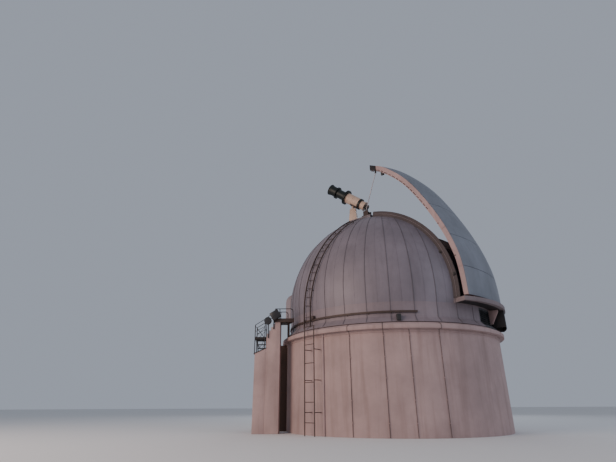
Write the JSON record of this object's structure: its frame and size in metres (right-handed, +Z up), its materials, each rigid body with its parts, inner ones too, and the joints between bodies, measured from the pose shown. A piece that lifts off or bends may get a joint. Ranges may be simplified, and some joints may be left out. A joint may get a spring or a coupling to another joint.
{
  "type": "observatory dome",
  "caption": "Round masonry drum with a rotating gored dome, an arched slit shutter, a telescope on the crown and a bridge with stairs.",
  "frame": {"origin": "centre of the drum's underside, at ground level", "axes": "+Z up along the dome's turning axis, +Y away from the picture's side, +X to the right"},
  "size_m": [16.7422, 15.0444, 19.527],
  "materials": {
    "skin": "weathered silver-grey paint on sheet steel",
    "masonry": "pale limewashed render",
    "concrete": "bare concrete",
    "leaf_skin": "weathered blue-grey paint on sheet steel",
    "edge_web": "weathered pale paint",
    "dark_steel": "dark paint, worn",
    "brown_steel": "dark red-brown paint, rusted in places",
    "lamp_metal": "dark grey enamel",
    "cream_paint": "satin cream paint",
    "black_paint": "satin black paint",
    "rope": "twisted wire rope, dull"
  },
  "bodies": {
    "building": {"ground_floor": "concrete", "observing_floor": "concrete", "drum_wall_front": "masonry", "drum_wall_back": "masonry", "cornice_front": "masonry", "cornice_back": "masonry", "wall_ladder": "brown_steel", "bridge_pier": "masonry", "bridge_deck": "brown_steel", "link_wall": "brown_steel", "low_wall": "masonry", "low_roof": "dark_steel", "bridge_railing_front": "dark_steel", "bridge_railing_back": "dark_steel", "stair_landing": "dark_steel", "stair_flight": "dark_steel", "floodlight_square": "lamp_metal", "floodlight_round": "lamp_metal"},
    "dome": {"bay_louvre": "dark_steel", "crown_beam": "brown_steel", "crown_platform": "brown_steel", "dome_ladder": "brown_steel", "dome_skirt_far": "skin", "dome_skirt_near": "skin", "drive_housing": "dark_steel", "hatch_door": "brown_steel", "hatch_hood": "skin", "haul_rope": "rope", "ring_rail": "brown_steel", "rope_winch": "brown_steel", "shell_far": "skin", "shell_near": "skin", "shell_rear": "skin", "sill_ledge": "edge_web", "skirt_lamp": "lamp_metal", "slit_curb_far": "brown_steel", "slit_curb_near": "brown_steel", "telescope_pedestal": "cream_paint"},
    "shutter": {"shutter_foot": "edge_web", "shutter_lamp": "lamp_metal", "shutter_panel_1": "leaf_skin", "shutter_panel_2": "leaf_skin", "shutter_panel_3": "leaf_skin", "shutter_panel_4": "leaf_skin", "shutter_rib_1": "edge_web", "shutter_rib_2": "edge_web", "shutter_rib_3": "edge_web", "shutter_tip_beam": "dark_steel", "shutter_tip_block": "dark_steel", "shutter_web_far": "edge_web", "shutter_web_near": "edge_web"},
    "telescope": {"telescope_barrel": "cream_paint", "telescope_cell": "cream_paint", "telescope_cradle": "brown_steel", "telescope_eyepiece": "black_paint", "telescope_front": "black_paint"}
  },
  "joints": [
    {"name": "dome_rotation", "type": "hinge", "parent": "building", "child": "dome", "pos_m": [0, 0, 7.9], "axis": [0, 0, 1], "range_deg": [-75, 180]},
    {"name": "shutter_tilt", "type": "hinge", "parent": "dome", "child": "shutter", "pos_m": [5.51552, -4.62807, 7.395], "axis": [0.6428, 0.766, 0], "range_deg": [-5, 12], "deforming": ["haul_rope"]},
    {"name": "telescope_altitude", "type": "hinge", "parent": "dome", "child": "telescope", "pos_m": [-1.9, 1.594, 17.08], "axis": [0.342, 0.9397, 0], "range_deg": [-20, 12]}
  ]
}
